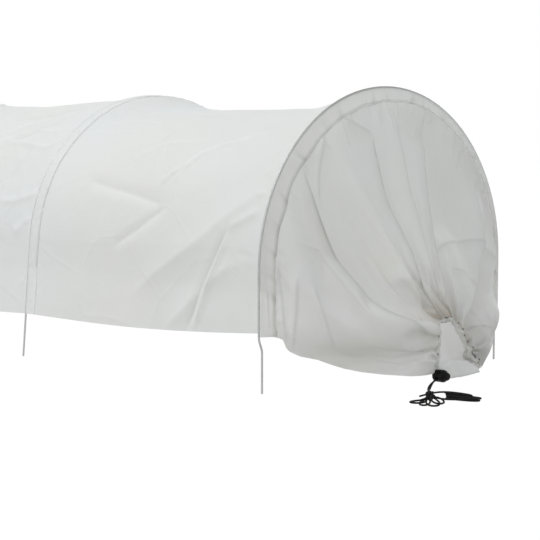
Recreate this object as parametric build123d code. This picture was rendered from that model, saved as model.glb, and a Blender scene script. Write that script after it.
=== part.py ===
"""Garden row tunnel: wire hoops sewn into a film cover that a drawstring closes at each end.

Millimetres and degrees. +X runs along the tunnel to its front end, +Z is up, and the origin lies on the
ground under the middle of the tunnel, where the hoop legs stand.
"""
import itertools
import math
import os

from build123d import *

# Wire hoops
BAY_COUNT = 6
BAY_LENGTH = 525.0
HOOP_HEIGHT = 410.0
HOOP_RADIUS = 250.0
LEG_SPLAY = 5.0
END_LEG_SPLAY = 0.0
WIRE_DIAMETER = 3.0
TOE_LENGTH = 57.0
TOE_RISE = 15.0
TOE_STEP = 5.5
TOE_BEND_RADIUS = 12.0

# Film cover: a thick stand-in for thin film, hung slack between the hoops
FILM_THICKNESS = 1.0
SEWN_GAP = 0.2
HEM_HEIGHT = 76.0
HEM_DROP = 7.0
CROWN_SAG = 28.0
SIDE_SAG = 14.0

# Sewn sleeves that hold the hoops
SLEEVE_WIDTH = 24.0
SLEEVE_SEAM = 6.0
SLEEVE_CLEARANCE = 0.3
END_SLEEVE_LEAN = 60.0

# Gathered ends: the film is drawn in to a small mouth with one upright and one sloping side
END_REACH = 130.0
END_BELLY = 12.0
END_HEM_DROP = 24.0
END_HEM_SHARE = 0.16
MOUTH_WIDTH = 80.0
MOUTH_RISE = 72.0
MOUTH_TOP_WIDTH = 26.0
MOUTH_HEIGHT = 17.0
MOUTH_SIDE_SHIFT = 5.0
TOP_ROUNDING = 9.0
CORNER_ROUNDING = 9.0
CASING_DIAMETER = 7.0
PLEAT_COUNT = 9
PLEAT_DEPTH = 9.0
PLEAT_POINTS = 8
PLEAT_ROWS = 8
UPRIGHT_PLEAT_SHARE = 0.3
TOP_PLEAT_SHARE = 0.3

# Cord locks: a barrel with a spring button and a hole across both
LOCK_DIAMETER = 17.0
LOCK_LENGTH = 19.0
LOCK_ROUNDING = 4.0
LOCK_HOLE_DIAMETER = 6.4
LOCK_DIP = 25.0
BUTTON_DIAMETER = 11.0
BUTTON_DEPTH = 13.0
BUTTON_STAND = 5.0
BUTTON_ROUNDING = 2.5
BUTTON_CLEARANCE = 0.25
BUTTON_OFFSET = 1.5
SEAT_GAP = 0.3

# Drawstring ends: two tails to a knot, with a hank of loops from each
CORD_DIAMETER = 2.5
TAIL_SPACING = 2.8
TAIL_HANDS = {"a": -1, "b": 1}
TAIL_ROUTE = [
    (0, 0, 0),
    (0.3, -9, -4.4),
    (3.3, -17.5, -8.6),
    (9, -26, -10.6),
    (17, -34.6, -10.2),
    (36, -56, -7.6),
    (52, -74, -6.1),
]
TAIL_BEND_SHARE = 0.45
KNOT_DIAMETER = 14.0
KNOT_LENGTH = 20.0
KNOT_ROUNDING = 4.5
HANK_THICKNESS = 13.6
HANK_ROUNDING = 4.0
FRONT_HANK_LENGTH = 52.0
FRONT_HANK_WIDTH = 38.0
SIDE_HANK_LENGTH = 64.0
SIDE_HANK_WIDTH = 28.0
SIDE_HANK_SHIFT = 4.0

# Worked out from the sizes above
TUNNEL_LENGTH = BAY_COUNT * BAY_LENGTH
HOOP_COUNT = BAY_COUNT + 1
MIDDLE_HOOP = HOOP_COUNT // 2
WIRE_RADIUS = WIRE_DIAMETER / 2
SLEEVE_BORE = WIRE_RADIUS + SLEEVE_CLEARANCE
SLEEVE_BACK = SLEEVE_BORE + FILM_THICKNESS
FRONT_HOOP_X = TUNNEL_LENGTH / 2
MOUTH_X = FRONT_HOOP_X + END_REACH
CASING_RADIUS = CASING_DIAMETER / 2
LOCK_RADIUS = LOCK_DIAMETER / 2
LOCK_Y = MOUTH_SIDE_SHIFT - MOUTH_WIDTH / 2


def hoop_place(index):
    """X of a hoop, counted from 0 at the front end."""
    return FRONT_HOOP_X - index * BAY_LENGTH


def at_end(index):
    return index in (0, BAY_COUNT)


def hoop_splay(index):
    """Lean of a hoop's legs: the two end hoops stand upright, those between are splayed."""
    return END_LEG_SPLAY if at_end(index) else LEG_SPLAY


def seam_faces_front(index):
    """The sleeve seams of the front half face the front end, the others the back end."""
    return index <= MIDDLE_HOOP


def tangent_point(radius, crown, splay):
    """Y and Z where the right leg leaves the arch."""
    lean = math.radians(splay)
    return radius * math.cos(lean), crown - radius + radius * math.sin(lean)


def arch_line(x, radius, crown, foot, splay):
    """Arch with two straight legs, in the plane across the tunnel at x, from the left foot."""
    y, z = tangent_point(radius, crown, splay)
    spread = y + (z - foot) * math.tan(math.radians(splay))
    left_leg = Line((x, -spread, foot), (x, -y, z))
    arch = ThreePointArc((x, -y, z), (x, 0, crown), (x, y, z))
    right_leg = Line((x, y, z), (x, spread, foot))
    return Wire([*left_leg.edges(), *arch.edges(), *right_leg.edges()])


def toed_line(x):
    """Arch whose legs step in to upright feet below the hem, as on the two end hoops."""
    y, z = tangent_point(HOOP_RADIUS, HOOP_HEIGHT, END_LEG_SPLAY)
    foot = y - TOE_STEP
    bend = TOE_LENGTH + TOE_RISE
    left_points = [(x, -foot, 0), (x, -foot, TOE_LENGTH), (x, -y, bend), (x, -y, z)]
    right_points = [(x, y, z), (x, y, bend), (x, foot, TOE_LENGTH), (x, foot, 0)]
    left_leg = FilletPolyline(left_points, radius=TOE_BEND_RADIUS)
    arch = ThreePointArc((x, -y, z), (x, 0, HOOP_HEIGHT), (x, y, z))
    right_leg = FilletPolyline(right_points, radius=TOE_BEND_RADIUS)
    return Wire([*left_leg.edges(), *arch.edges(), *right_leg.edges()])


def along(section, path, x_dir=None):
    """Sweep a flat section along a path from its start."""
    start = Plane(origin=path @ 0, x_dir=x_dir, z_dir=path % 0)
    return sweep(start * section, path=path)


def hoop(index):
    x = hoop_place(index)
    tip_lift = WIRE_RADIUS * math.sin(math.radians(LEG_SPLAY))
    path = toed_line(x) if at_end(index) else arch_line(x, HOOP_RADIUS, HOOP_HEIGHT, tip_lift, LEG_SPLAY)
    return along(Circle(WIRE_RADIUS), path)


def sleeve_section(radius, reach, edge):
    """Round at the wire and tapered to the seam, which lies along local +X."""
    top = Line((0, radius), (reach, edge))
    end = Line((reach, edge), (reach, -edge))
    bottom = Line((reach, -edge), (0, -radius))
    back = ThreePointArc((0, -radius), (-radius, 0), (0, radius))
    return make_face([*top.edges(), *end.edges(), *bottom.edges(), *back.edges()])


def sleeve_lean(index):
    """The end sleeves are drawn inwards with the end film, the others lie along the tunnel."""
    return math.radians(END_SLEEVE_LEAN) if at_end(index) else 0


def sleeve(index):
    """Two layers of film round the wire, stitched together along the seam."""
    path = arch_line(hoop_place(index), HOOP_RADIUS, HOOP_HEIGHT, HEM_HEIGHT, hoop_splay(index))
    lean = sleeve_lean(index)
    ahead = 1 if seam_faces_front(index) else -1
    seam_side = (ahead * math.cos(lean), math.sin(lean), 0)
    skin = sleeve_section(SLEEVE_BACK, SLEEVE_WIDTH, FILM_THICKNESS)
    pocket = sleeve_section(SLEEVE_BORE, SLEEVE_WIDTH - SLEEVE_SEAM, SEWN_GAP)
    return along(skin, path, seam_side) - along(pocket, path, seam_side)


def film_band(x, sag, side_sag, foot, splay):
    """Thin arched strip: the film cut across at x."""
    half = FILM_THICKNESS / 2
    radius = HOOP_RADIUS - side_sag
    crown = HOOP_HEIGHT - sag
    outer = arch_line(x, radius + half, crown + half, foot, splay)
    inner = arch_line(x, radius - half, crown - half, foot, splay)
    left_hem = Line(inner @ 0, outer @ 0)
    right_hem = Line(outer @ 1, inner @ 1)
    return make_face([*outer.edges(), *right_hem.edges(), *inner.edges(), *left_hem.edges()])


def bay_cover(index):
    """Film between two hoops, sewn to both sleeves and sagging in the middle."""
    front_reach = SLEEVE_BACK if seam_faces_front(index) else SLEEVE_WIDTH
    back_reach = SLEEVE_WIDTH if seam_faces_front(index + 1) else SLEEVE_BACK
    front = hoop_place(index) - front_reach - SEWN_GAP
    back = hoop_place(index + 1) + back_reach + SEWN_GAP
    sections = [
        film_band(back, 0, 0, HEM_HEIGHT, hoop_splay(index + 1)),
        film_band((front + back) / 2, CROWN_SAG, SIDE_SAG, HEM_HEIGHT - HEM_DROP, LEG_SPLAY),
        film_band(front, 0, 0, HEM_HEIGHT, hoop_splay(index)),
    ]
    return loft(sections)


def mouth_line():
    """Path of the drawn-in hem: up from the cord lock, over the top and back along the bottom."""
    lock = Vector(MOUTH_X, LOCK_Y, MOUTH_HEIGHT)
    top_left = lock + Vector(0, 0, MOUTH_RISE)
    top_right = top_left + Vector(0, MOUTH_TOP_WIDTH, 0)
    corner = lock + Vector(0, MOUTH_WIDTH, 0)
    reach = LOCK_RADIUS + SEAT_GAP
    start = lock + Vector(0, 0, reach)
    end = lock + Vector(0, reach, 0)
    radii = [TOP_ROUNDING, TOP_ROUNDING, CORNER_ROUNDING]
    line = FilletPolyline(start, top_left, top_right, corner, end, radius=radii)
    return Wire(line.edges())


def end_casing():
    """Hem casing of the drawstring, from the cord lock round to the cord lock."""
    path = mouth_line()
    return along(Circle(CASING_RADIUS), path)


def film_skin(grid, lift):
    """Smooth face over a grid of points, each lifted square to the grid."""
    rows = []
    last_row = len(grid) - 1
    last_column = len(grid[0]) - 1
    for row, points in enumerate(grid):
        lifted = []
        for column, point in enumerate(points):
            across_step = points[min(column + 1, last_column)] - points[max(column - 1, 0)]
            down_step = grid[min(row + 1, last_row)][column] - grid[max(row - 1, 0)][column]
            lifted.append(point + across_step.cross(down_step).normalized() * lift)
        rows.append(lifted)
    return Face.make_surface_from_array_of_points(rows)


def film_shell(grid):
    """Film of even thickness over a grid of points: two skins closed by ruled edges."""
    front = film_skin(grid, FILM_THICKNESS / 2)
    back = film_skin(grid, -FILM_THICKNESS / 2)
    edges = []
    for edge in front.edges():
        mate = min(back.edges(), key=lambda other: (other.center() - edge.center()).length)
        edges.append(Face.make_surface_from_curves(edge, mate))
    return Solid(Shell([front, back, *edges]))


def end_film():
    """Film drawn in from the end sleeve to the casing, in pleats, with both bottom hems hanging low."""
    sewn = SLEEVE_WIDTH + SEWN_GAP
    inset = sewn * math.sin(sleeve_lean(0))
    rim_x = FRONT_HOOP_X + sewn * math.cos(sleeve_lean(0))
    rim = arch_line(rim_x, HOOP_RADIUS - inset, HOOP_HEIGHT - inset, HEM_HEIGHT, END_LEG_SPLAY)
    mouth = mouth_line()
    runs = list(itertools.accumulate(edge.length / mouth.length for edge in mouth.edges()))
    upright, left_bend, top, right_bend, slope, corner_bend, _ = runs
    stand_off = CASING_RADIUS + SEAT_GAP
    columns = PLEAT_COUNT * PLEAT_POINTS
    pleat_stops = [0, UPRIGHT_PLEAT_SHARE, UPRIGHT_PLEAT_SHARE + TOP_PLEAT_SHARE, 1]
    mouth_stops = [0, (upright + left_bend) / 2, (top + right_bend) / 2, (slope + corner_bend) / 2]

    def mouth_share(u):
        for start, end, first, last in zip(pleat_stops, pleat_stops[1:], mouth_stops, mouth_stops[1:]):
            if u <= end:
                return first + (last - first) * (u - start) / (end - start)

    def film_point(u, v):
        share = mouth_share(u)
        heading = mouth % share
        outward = Vector(0, -heading.Z, heading.Y)
        start = rim @ u
        drawn = mouth @ share + outward * stand_off
        pleat = PLEAT_DEPTH * math.cos(math.tau * PLEAT_COUNT * u) / 2
        slack = math.sin(math.pi * v)
        swell = (END_BELLY + pleat) * slack
        drop = END_HEM_DROP * max(0, 1 - min(u, 1 - u) / END_HEM_SHARE) ** 2 * slack
        return start + (drawn - start) * v + Vector(swell, 0, -drop)

    grid = [
        [film_point(column / columns, row / PLEAT_ROWS) for column in range(columns + 1)]
        for row in range(PLEAT_ROWS + 1)
    ]
    return film_shell(grid)


def lock_place():
    """Axis of the cord lock along the tunnel, with its hole dipping to the left."""
    return Location((MOUTH_X, LOCK_Y, MOUTH_HEIGHT), (LOCK_DIP, 0, 0))


def across(diameter):
    """Round cutter along Y, through the whole cord lock."""
    return Rot(90, 0, 0) * Cylinder(diameter / 2, 2 * LOCK_DIAMETER)


def lock_barrel():
    body = Rot(0, 90, 0) * Cylinder(LOCK_RADIUS, LOCK_LENGTH)
    body = fillet(body.edges().filter_by(GeomType.CIRCLE), LOCK_ROUNDING)
    bore_radius = BUTTON_DIAMETER / 2 + BUTTON_CLEARANCE
    bore_depth = BUTTON_DEPTH + BUTTON_CLEARANCE
    bore = Pos(LOCK_LENGTH / 2 - bore_depth / 2, 0, 0) * Rot(0, 90, 0) * Cylinder(bore_radius, bore_depth)
    return lock_place() * (body - bore - across(LOCK_HOLE_DIAMETER))


def lock_button():
    length = BUTTON_DEPTH + BUTTON_STAND
    button = Rot(0, 90, 0) * Cylinder(BUTTON_DIAMETER / 2, length)
    button = fillet(button.edges().sort_by(Axis.X)[-1], BUTTON_ROUNDING)
    button = Pos(LOCK_LENGTH / 2 - BUTTON_DEPTH + length / 2, 0, 0) * button
    return lock_place() * (button - Pos(BUTTON_OFFSET, 0, 0) * across(LOCK_HOLE_DIAMETER))


def bend_radii(points):
    """Largest arc at each inner point of a route that its two runs leave room for."""
    radii = []
    for before, here, after in zip(points, points[1:], points[2:]):
        turn = (here - before).get_angle(after - here)
        run = min((here - before).length, (after - here).length)
        radii.append(TAIL_BEND_SHARE * run / math.tan(math.radians(turn) / 2))
    return radii


def tail_points(name):
    """Route of one drawstring tail, from the face of the lock's hole, beside the other tail."""
    dip = math.radians(LOCK_DIP)
    face = LOCK_RADIUS + SEAT_GAP
    exit_point = Vector(MOUTH_X, LOCK_Y - face * math.cos(dip), MOUTH_HEIGHT - face * math.sin(dip))
    middle = [exit_point + Vector(*offset) for offset in TAIL_ROUTE]
    before = [middle[0], *middle[:-1]]
    after = [*middle[1:], middle[-1]]
    points = []
    for previous, here, following in zip(before, middle, after):
        heading = following - previous
        side = Vector(-heading.Y, heading.X, 0).normalized()
        points.append(here + side * TAIL_HANDS[name] * TAIL_SPACING / 2)
    return points


def cord_tail(name):
    points = tail_points(name)
    radii = bend_radii(points)
    path = Wire(FilletPolyline(points, radius=radii).edges())
    return along(Circle(CORD_DIAMETER / 2), path)


def knot_plane():
    """Middle of the knot, with local +Z along the tails and local +X to the side hank."""
    tails = [tail_points(name) for name in TAIL_HANDS]
    end = (tails[0][-1] + tails[1][-1]) / 2
    heading = tails[0][-1] - tails[0][-2]
    heading = Vector(heading.X, heading.Y, 0).normalized()
    side = Vector(-heading.Y, heading.X, 0)
    return Plane(origin=end + heading * (SEAT_GAP + KNOT_LENGTH / 2), x_dir=side, z_dir=heading)


def cord_knot():
    knot = Cylinder(KNOT_DIAMETER / 2, KNOT_LENGTH)
    return knot_plane() * fillet(knot.edges().filter_by(GeomType.CIRCLE), KNOT_ROUNDING)


def hank(length, width):
    """Outer shape of a flat bundle of loops, long along local X and lying in the XY plane."""
    bundle = extrude(SlotOverall(length, width), HANK_THICKNESS / 2, both=True)
    return fillet(bundle.edges().filter_by(Plane.XY), HANK_ROUNDING)


def front_hank():
    reach = KNOT_LENGTH / 2 + SEAT_GAP + FRONT_HANK_LENGTH / 2
    flat = Plane(origin=(0, 0, reach), x_dir=(0, 0, 1), z_dir=(0, 1, 0))
    return knot_plane().location * flat.location * hank(FRONT_HANK_LENGTH, FRONT_HANK_WIDTH)


def side_hank():
    reach = KNOT_DIAMETER / 2 + SEAT_GAP + SIDE_HANK_LENGTH / 2
    flat = Plane(origin=(reach, 0, -SIDE_HANK_SHIFT), x_dir=(1, 0, 0), z_dir=(0, 1, 0))
    return knot_plane().location * flat.location * hank(SIDE_HANK_LENGTH, SIDE_HANK_WIDTH)


def tunnel_end():
    """Every piece of the front end; the back end is the same, turned half round."""
    return {
        "gather": end_film(),
        "casing": end_casing(),
        "lock_barrel": lock_barrel(),
        "lock_button": lock_button(),
        "cord_tail_a": cord_tail("a"),
        "cord_tail_b": cord_tail("b"),
        "cord_knot": cord_knot(),
        "cord_front_hank": front_hank(),
        "cord_side_hank": side_hank(),
    }


def main():
    nodes = {}
    for index in range(HOOP_COUNT):
        nodes[f"hoop_{index + 1}"] = hoop(index)
        nodes[f"sleeve_{index + 1}"] = sleeve(index)
    for index in range(BAY_COUNT):
        nodes[f"cover_bay_{index + 1}"] = bay_cover(index)
    for name, piece in tunnel_end().items():
        nodes[f"front_{name}"] = piece
        nodes[f"back_{name}"] = Rot(0, 0, 180) * piece
    os.makedirs("parts", exist_ok=True)
    for name, piece in nodes.items():
        export_step(piece, f"parts/{name}.step")


main()
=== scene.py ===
"""Looks of the garden row tunnel: slack film on wire hoops, drawn in by a drawstring at each end."""
import math
import random

import bpy
import numpy as np
from mathutils import Matrix, Vector, noise


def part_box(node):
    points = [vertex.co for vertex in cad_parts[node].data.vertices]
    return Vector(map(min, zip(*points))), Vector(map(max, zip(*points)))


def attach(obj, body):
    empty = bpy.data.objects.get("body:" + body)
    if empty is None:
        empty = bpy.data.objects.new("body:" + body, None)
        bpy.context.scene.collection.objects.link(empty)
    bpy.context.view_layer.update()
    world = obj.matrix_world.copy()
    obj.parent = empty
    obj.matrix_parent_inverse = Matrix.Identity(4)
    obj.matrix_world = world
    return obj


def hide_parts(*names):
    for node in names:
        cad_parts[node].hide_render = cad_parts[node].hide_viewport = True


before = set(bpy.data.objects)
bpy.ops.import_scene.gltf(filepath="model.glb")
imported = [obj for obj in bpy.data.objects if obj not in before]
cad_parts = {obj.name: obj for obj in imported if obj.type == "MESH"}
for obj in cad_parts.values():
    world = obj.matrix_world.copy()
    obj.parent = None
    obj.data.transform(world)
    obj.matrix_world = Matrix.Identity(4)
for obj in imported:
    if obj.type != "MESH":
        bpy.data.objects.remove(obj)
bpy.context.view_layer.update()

MM = 0.001
PHOTO_SIDE = 540

# The tunnel's own sizes, as in the part, in metres
HOOP_COUNT = 7
BAY_COUNT = HOOP_COUNT - 1
MIDDLE_HOOP = 4
HOOP_RADIUS = 250 * MM
LEG_SPLAY = math.radians(5)
LEG_SPLAYS = [0, *[LEG_SPLAY] * (HOOP_COUNT - 2), 0]
WIRE_RADIUS = 1.5 * MM
SLEEVE_WIDTH = 24 * MM
END_SLEEVE_LEAN = math.radians(60)
HOOP_BOXES = [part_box(f"hoop_{number}") for number in range(1, HOOP_COUNT + 1)]
HOOP_X = [(low.x + high.x) / 2 for low, high in HOOP_BOXES]
HOOP_HEIGHT = HOOP_BOXES[0][1].z - WIRE_RADIUS
CORD_DIAMETER = 2.5 * MM

# Where the drawn-in mouth and its cord lock are
END_REACH = 130 * MM
MOUTH_X = HOOP_X[0] + END_REACH
LOCK_PLACE = Vector((MOUTH_X, -35 * MM, 17 * MM))
LOCK_RADIUS = 8.5 * MM
LOCK_DIP = math.radians(25)
SEAT_GAP = 0.3 * MM

# Height of the film's hem at each hoop, front to back, and how the end film laps under its sleeve
HEM_HEIGHTS = [height * MM for height in (81, 67, 74, 78, 72, 67, 81)]
END_HEM_HEIGHT = 76 * MM
SEAM_LAP = 6 * MM
SEAM_DROP = 1.4 * MM


def placed(name, data):
    """A new object at the origin, with its place in its data."""
    piece = bpy.data.objects.new(name, data)
    bpy.context.collection.objects.link(piece)
    return piece


def plain_mesh(name, points, faces):
    mesh = bpy.data.meshes.new(name)
    mesh.from_pydata([tuple(point) for point in points], [], faces)
    mesh.update()
    return placed(name, mesh)


def pick(*pieces):
    """Select these objects and no others, the first of them active."""
    bpy.ops.object.select_all(action="DESELECT")
    for piece in pieces:
        piece.select_set(True)
    bpy.context.view_layer.objects.active = pieces[0]


def add_modifier(piece, kind, **settings):
    """Add a modifier and apply it at once."""
    modifier = piece.modifiers.new(kind.lower(), kind)
    for name, value in settings.items():
        setattr(modifier, name, value)
    pick(piece)
    bpy.ops.object.modifier_apply(modifier=modifier.name)


def smooth(piece):
    for face in piece.data.polygons:
        face.use_smooth = True
    return piece


def joined(pieces, name):
    """Several objects made one, under a new name."""
    pick(*pieces)
    bpy.ops.object.join()
    whole = bpy.context.object
    whole.name = name
    return smooth(whole)


def turned_copy(piece, name):
    """A copy for the back end: the front piece turned half round about the upright axis."""
    mesh = piece.data.copy()
    mesh.transform(Matrix.Rotation(math.pi, 4, "Z"))
    return placed(name, mesh)


def finish_piece(piece, material, slot, *nodes):
    """Give a piece its material and its place in the frame, and hide the CAD parts of the nodes that it
    stands for.
    """
    piece.data.materials.clear()
    piece.data.materials.append(material)
    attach(piece, "root")
    if nodes:
        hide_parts(*nodes)
    return piece


# Shader maths


class Tap:
    """One output in a node tree. Sums of taps add Math nodes."""

    def __init__(self, tree, socket=None):
        self.tree = tree
        self.socket = socket

    def node(self, kind, output=0, settings=None, inputs=None):
        """Add a node, set it, fill or link its inputs and tap one of its outputs."""
        made = self.tree.nodes.new(kind)
        for name, value in (settings or {}).items():
            if name == "stops":
                ramp = made.color_ramp.elements
                while len(ramp) < len(value):
                    ramp.new(0.5)
                for stop, (place, shade) in zip(ramp, value):
                    stop.position = place
                    stop.color = (shade, shade, shade, 1)
            else:
                setattr(made, name, value)
        for name, value in (inputs or {}).items():
            self.feed(made.inputs[name], value)
        return Tap(self.tree, made.outputs[output])

    def feed(self, target, value):
        if isinstance(value, Tap):
            self.tree.links.new(value.socket, target)
        else:
            target.default_value = value

    def sum_with(self, operation, first, second):
        return self.node("ShaderNodeMath", settings={"operation": operation}, inputs={0: first, 1: second})

    def __add__(self, other):
        return self.sum_with("ADD", self, other)

    __radd__ = __add__

    def __rsub__(self, other):
        return self.sum_with("SUBTRACT", other, self)

    def __mul__(self, other):
        return self.sum_with("MULTIPLY", self, other)

    __rmul__ = __mul__


def new_material(name):
    """A material whose tree is empty but for its output."""
    material = bpy.data.materials.new(name)
    material.use_nodes = True
    tree = material.node_tree
    for node in list(tree.nodes):
        if node.type != "OUTPUT_MATERIAL":
            tree.nodes.remove(node)
    return material, Tap(tree)


def show(material, shader):
    output = next(node for node in material.node_tree.nodes if node.type == "OUTPUT_MATERIAL")
    material.node_tree.links.new(shader.socket, output.inputs["Surface"])
    return material


def mixed_colour(tap, share, first, second):
    return tap.node(
        "ShaderNodeMix",
        output=2,
        settings={"data_type": "RGBA"},
        inputs={0: share, 6: first, 7: second},
    )


def noted(tap, name):
    """A number kept per vertex, such as how dark the painted shade of a fold is there."""
    return tap.node("ShaderNodeAttribute", "Fac", {"attribute_name": name})


def grain(tap, scale, detail=2.0):
    """Noise in the object's own space."""
    place = tap.node("ShaderNodeTexCoord", output="Object")
    return tap.node("ShaderNodeTexNoise", inputs={"Vector": place, "Scale": scale, "Detail": detail})


def coat(material, tap, inputs):
    """Finish a material that is one plain surface."""
    return show(material, tap.node("ShaderNodeBsdfPrincipled", inputs=inputs))


def bumped(tap, height, strength, distance):
    return tap.node("ShaderNodeBump", inputs={"Height": height, "Strength": strength, "Distance": distance})


# Camera


CAMERA_PLACE = Vector((1.4757, -1.6225, 0.327)) + Vector((HOOP_X[0], 0, 0))
CAMERA_AZIMUTH = math.radians(46.66)
CAMERA_ELEVATION = math.radians(4.59)
FOCAL_PIXELS = 1538
SENSOR_WIDTH = 36
VIEW_REACH = 100


def make_camera():
    bpy.ops.object.camera_add(
        location=CAMERA_PLACE,
        rotation=(math.pi / 2 - CAMERA_ELEVATION, 0, CAMERA_AZIMUTH),
    )
    camera = bpy.context.object
    camera.data.sensor_width = SENSOR_WIDTH
    camera.data.lens = SENSOR_WIDTH * FOCAL_PIXELS / PHOTO_SIDE
    camera.data.clip_end = VIEW_REACH
    bpy.context.scene.camera = camera


make_camera()


# Drawstring ends


CORD_LOOPS = {"a": "cord_front_hank", "b": "cord_side_hank"}
CORD_FLOOR = CORD_DIAMETER / 2 + SEAT_GAP
CORD_ROUND_STEPS = 3
CORD_CURVE_STEPS = 6
TAIL_SPACING = 2.8 * MM
TAIL_TWIST = 2.5 * math.pi
TAIL_HANDS = {"a": -1, "b": 1}
TAIL_ROUTE = [
    (0, 0, 0),
    (0.3, -9, -4.4),
    (3.3, -17.5, -8.6),
    (9, -26, -10.2),
    (17, -34.6, -9.8),
    (26, -45, -8.6),
    (36, -56, -7.6),
    (52, -74, -6.1),
]
KNOT_LENGTH = 20 * MM
KNOT_STEPS = 72
KNOT_TILTS = (0.3, 1.4)
TREFOIL_SIZES = Vector((1.75, 1.75, 2.6)) * MM
TREFOIL_TWIST = 2.2
TREFOIL_SPACING = 5 * MM
LOOPS = {
    "a": {"count": 4, "aim": -8, "fan": 40, "length": 50 * MM, "width": 8 * MM, "seed": 5},
    "b": {"count": 5, "aim": 92, "fan": 24, "length": 64 * MM, "width": 8 * MM, "seed": 9},
}
LOOP_OUTLINE_SHARES = [
    (0.22, -0.35), (0.5, -0.9), (0.8, -1.0), (0.97, -0.55),
    (1.0, 0.1), (0.93, 0.75), (0.7, 1.0), (0.4, 0.6),
]
LOOP_AIM_PLAY = 3
LOOP_LENGTH_SHARES = (0.78, 1.08)
LOOP_WIDTH_SHARES = (0.8, 1.15)
LOOP_STACK_SHARE = 1.1
LOOP_BASE_SHARE = 0.4
LOOP_TIP_SHARES = (0.1, 1.6)
LOOP_START = 4 * MM
TIP_PLACES = {"a": (30 * MM, -16 * MM), "b": (-3 * MM, -14 * MM)}
TIP_LIFT_SHARE = 1.5
BRAID_SHADES = [(0.004, 0.004, 0.004, 1), (0.012, 0.012, 0.012, 1)]


def lock_exit():
    reach = LOCK_RADIUS + SEAT_GAP
    return LOCK_PLACE + Vector((0, -reach * math.cos(LOCK_DIP), -reach * math.sin(LOCK_DIP)))


def tail_points(name):
    """Route of one tail, twisted once and a quarter round the other."""
    middle = [lock_exit() + Vector(offset) * MM for offset in TAIL_ROUTE]
    points = []
    for index, here in enumerate(middle):
        heading = middle[min(index + 1, len(middle) - 1)] - middle[max(index - 1, 0)]
        side = Vector((-heading.y, heading.x, 0)).normalized()
        turn = TAIL_TWIST * index / (len(middle) - 1)
        lift = Vector((0, 0, math.sin(turn)))
        points.append(here + (side * math.cos(turn) + lift) * TAIL_HANDS[name] * TAIL_SPACING / 2)
    return points


def knot_frame():
    """Middle of the knot and the two level directions along the tails and to their right."""
    ends = [tail_points(name) for name in TAIL_HANDS]
    ahead = ends[0][-1] - ends[0][-2]
    ahead = Vector((ahead.x, ahead.y, 0)).normalized()
    right = Vector((-ahead.y, ahead.x, 0))
    middle = (ends[0][-1] + ends[1][-1]) / 2 + ahead * (SEAT_GAP + KNOT_LENGTH / 2)
    return middle, ahead, right


def loop_points(count, aim, fan, length, width, seed):
    """Loops of loose cord that fan out from the knot and lie over each other, as control points."""
    draw = random.Random(seed)
    middle, ahead, right = knot_frame()
    points = []
    for number in range(count):
        share = number / (count - 1)
        angle = math.radians(aim + fan * (share - 0.5) + draw.uniform(-LOOP_AIM_PLAY, LOOP_AIM_PLAY))
        out = ahead * math.cos(angle) + right * math.sin(angle)
        side = right * math.cos(angle) - ahead * math.sin(angle)
        reach = length * draw.uniform(*LOOP_LENGTH_SHARES)
        half = width * draw.uniform(*LOOP_WIDTH_SHARES)
        base = CORD_FLOOR + CORD_DIAMETER * (LOOP_STACK_SHARE * number + LOOP_BASE_SHARE)
        tip = CORD_FLOOR + CORD_DIAMETER * draw.uniform(*LOOP_TIP_SHARES)
        for along, across in LOOP_OUTLINE_SHARES:
            level = base + (tip - base) * along
            place = middle + out * (reach * along + LOOP_START) + side * (half * across)
            points.append(Vector((place.x, place.y, level)))
    return points


def cord_data(name):
    """A curve without points, as thick and round as the cord."""
    data = bpy.data.curves.new(name, "CURVE")
    data.dimensions = "3D"
    data.bevel_depth = CORD_DIAMETER / 2
    data.bevel_resolution = CORD_ROUND_STEPS
    return data


def cord_curve(name, points):
    """A round cord on one smooth NURBS line through its control points."""
    data = cord_data(name)
    data.resolution_u = CORD_CURVE_STEPS
    data.use_fill_caps = True
    spline = data.splines.new("NURBS")
    spline.points.add(len(points) - 1)
    for knot, point in zip(spline.points, points):
        knot.co = (*point, 1)
    spline.order_u = 3
    spline.use_endpoint_u = True
    return placed(name, data)


def half_turn(points):
    return [Vector((-point.x, -point.y, point.z)) for point in points]


def cord_points(name):
    """Control points of one free end: its tail, its way through the knot, its loops and its loose tip."""
    middle, ahead, right = knot_frame()
    in_knot = middle - Vector((0, 0, TAIL_HANDS[name] * CORD_DIAMETER / 2))
    loops = loop_points(**LOOPS[name])
    forward, sideways = TIP_PLACES[name]
    tip = middle + ahead * forward + right * sideways
    tip.z = CORD_FLOOR + CORD_DIAMETER * TIP_LIFT_SHARE
    over = (loops[-1] + tip) / 2 + Vector((0, 0, CORD_DIAMETER))
    return [*tail_points(name), in_knot, *loops, over, tip]


def trefoil_point(angle, tilt):
    """Point on a trefoil, turned by its tilt."""
    spot = Vector((
        math.sin(angle) + 2 * math.sin(2 * angle),
        math.cos(angle) - 2 * math.cos(2 * angle),
        -TREFOIL_TWIST * math.sin(3 * angle),
    ))
    return Matrix.Rotation(tilt, 3, "Z") @ spot


def knot_piece(name):
    """Tied lump of cord: two tight trefoils of cord, one across the other."""
    middle, ahead, right = knot_frame()
    turn = Matrix((right, Vector((0, 0, 1)), ahead)).transposed()
    lumps = []
    for index, tilt in enumerate(KNOT_TILTS):
        data = cord_data(f"{name}_{index}")
        spline = data.splines.new("POLY")
        spline.points.add(KNOT_STEPS - 1)
        shift = (index - 0.5) * TREFOIL_SPACING
        for step, point in enumerate(spline.points):
            unit = trefoil_point(math.tau * step / KNOT_STEPS, tilt)
            spot = unit * TREFOIL_SIZES + Vector((0, 0, shift))
            point.co = (*(middle + turn @ spot), 1)
        spline.use_cyclic_u = True
        lumps.append(placed(f"{name}_{index}", data))
    pick(*lumps)
    bpy.ops.object.convert(target="MESH")
    return joined(lumps, name)


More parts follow.
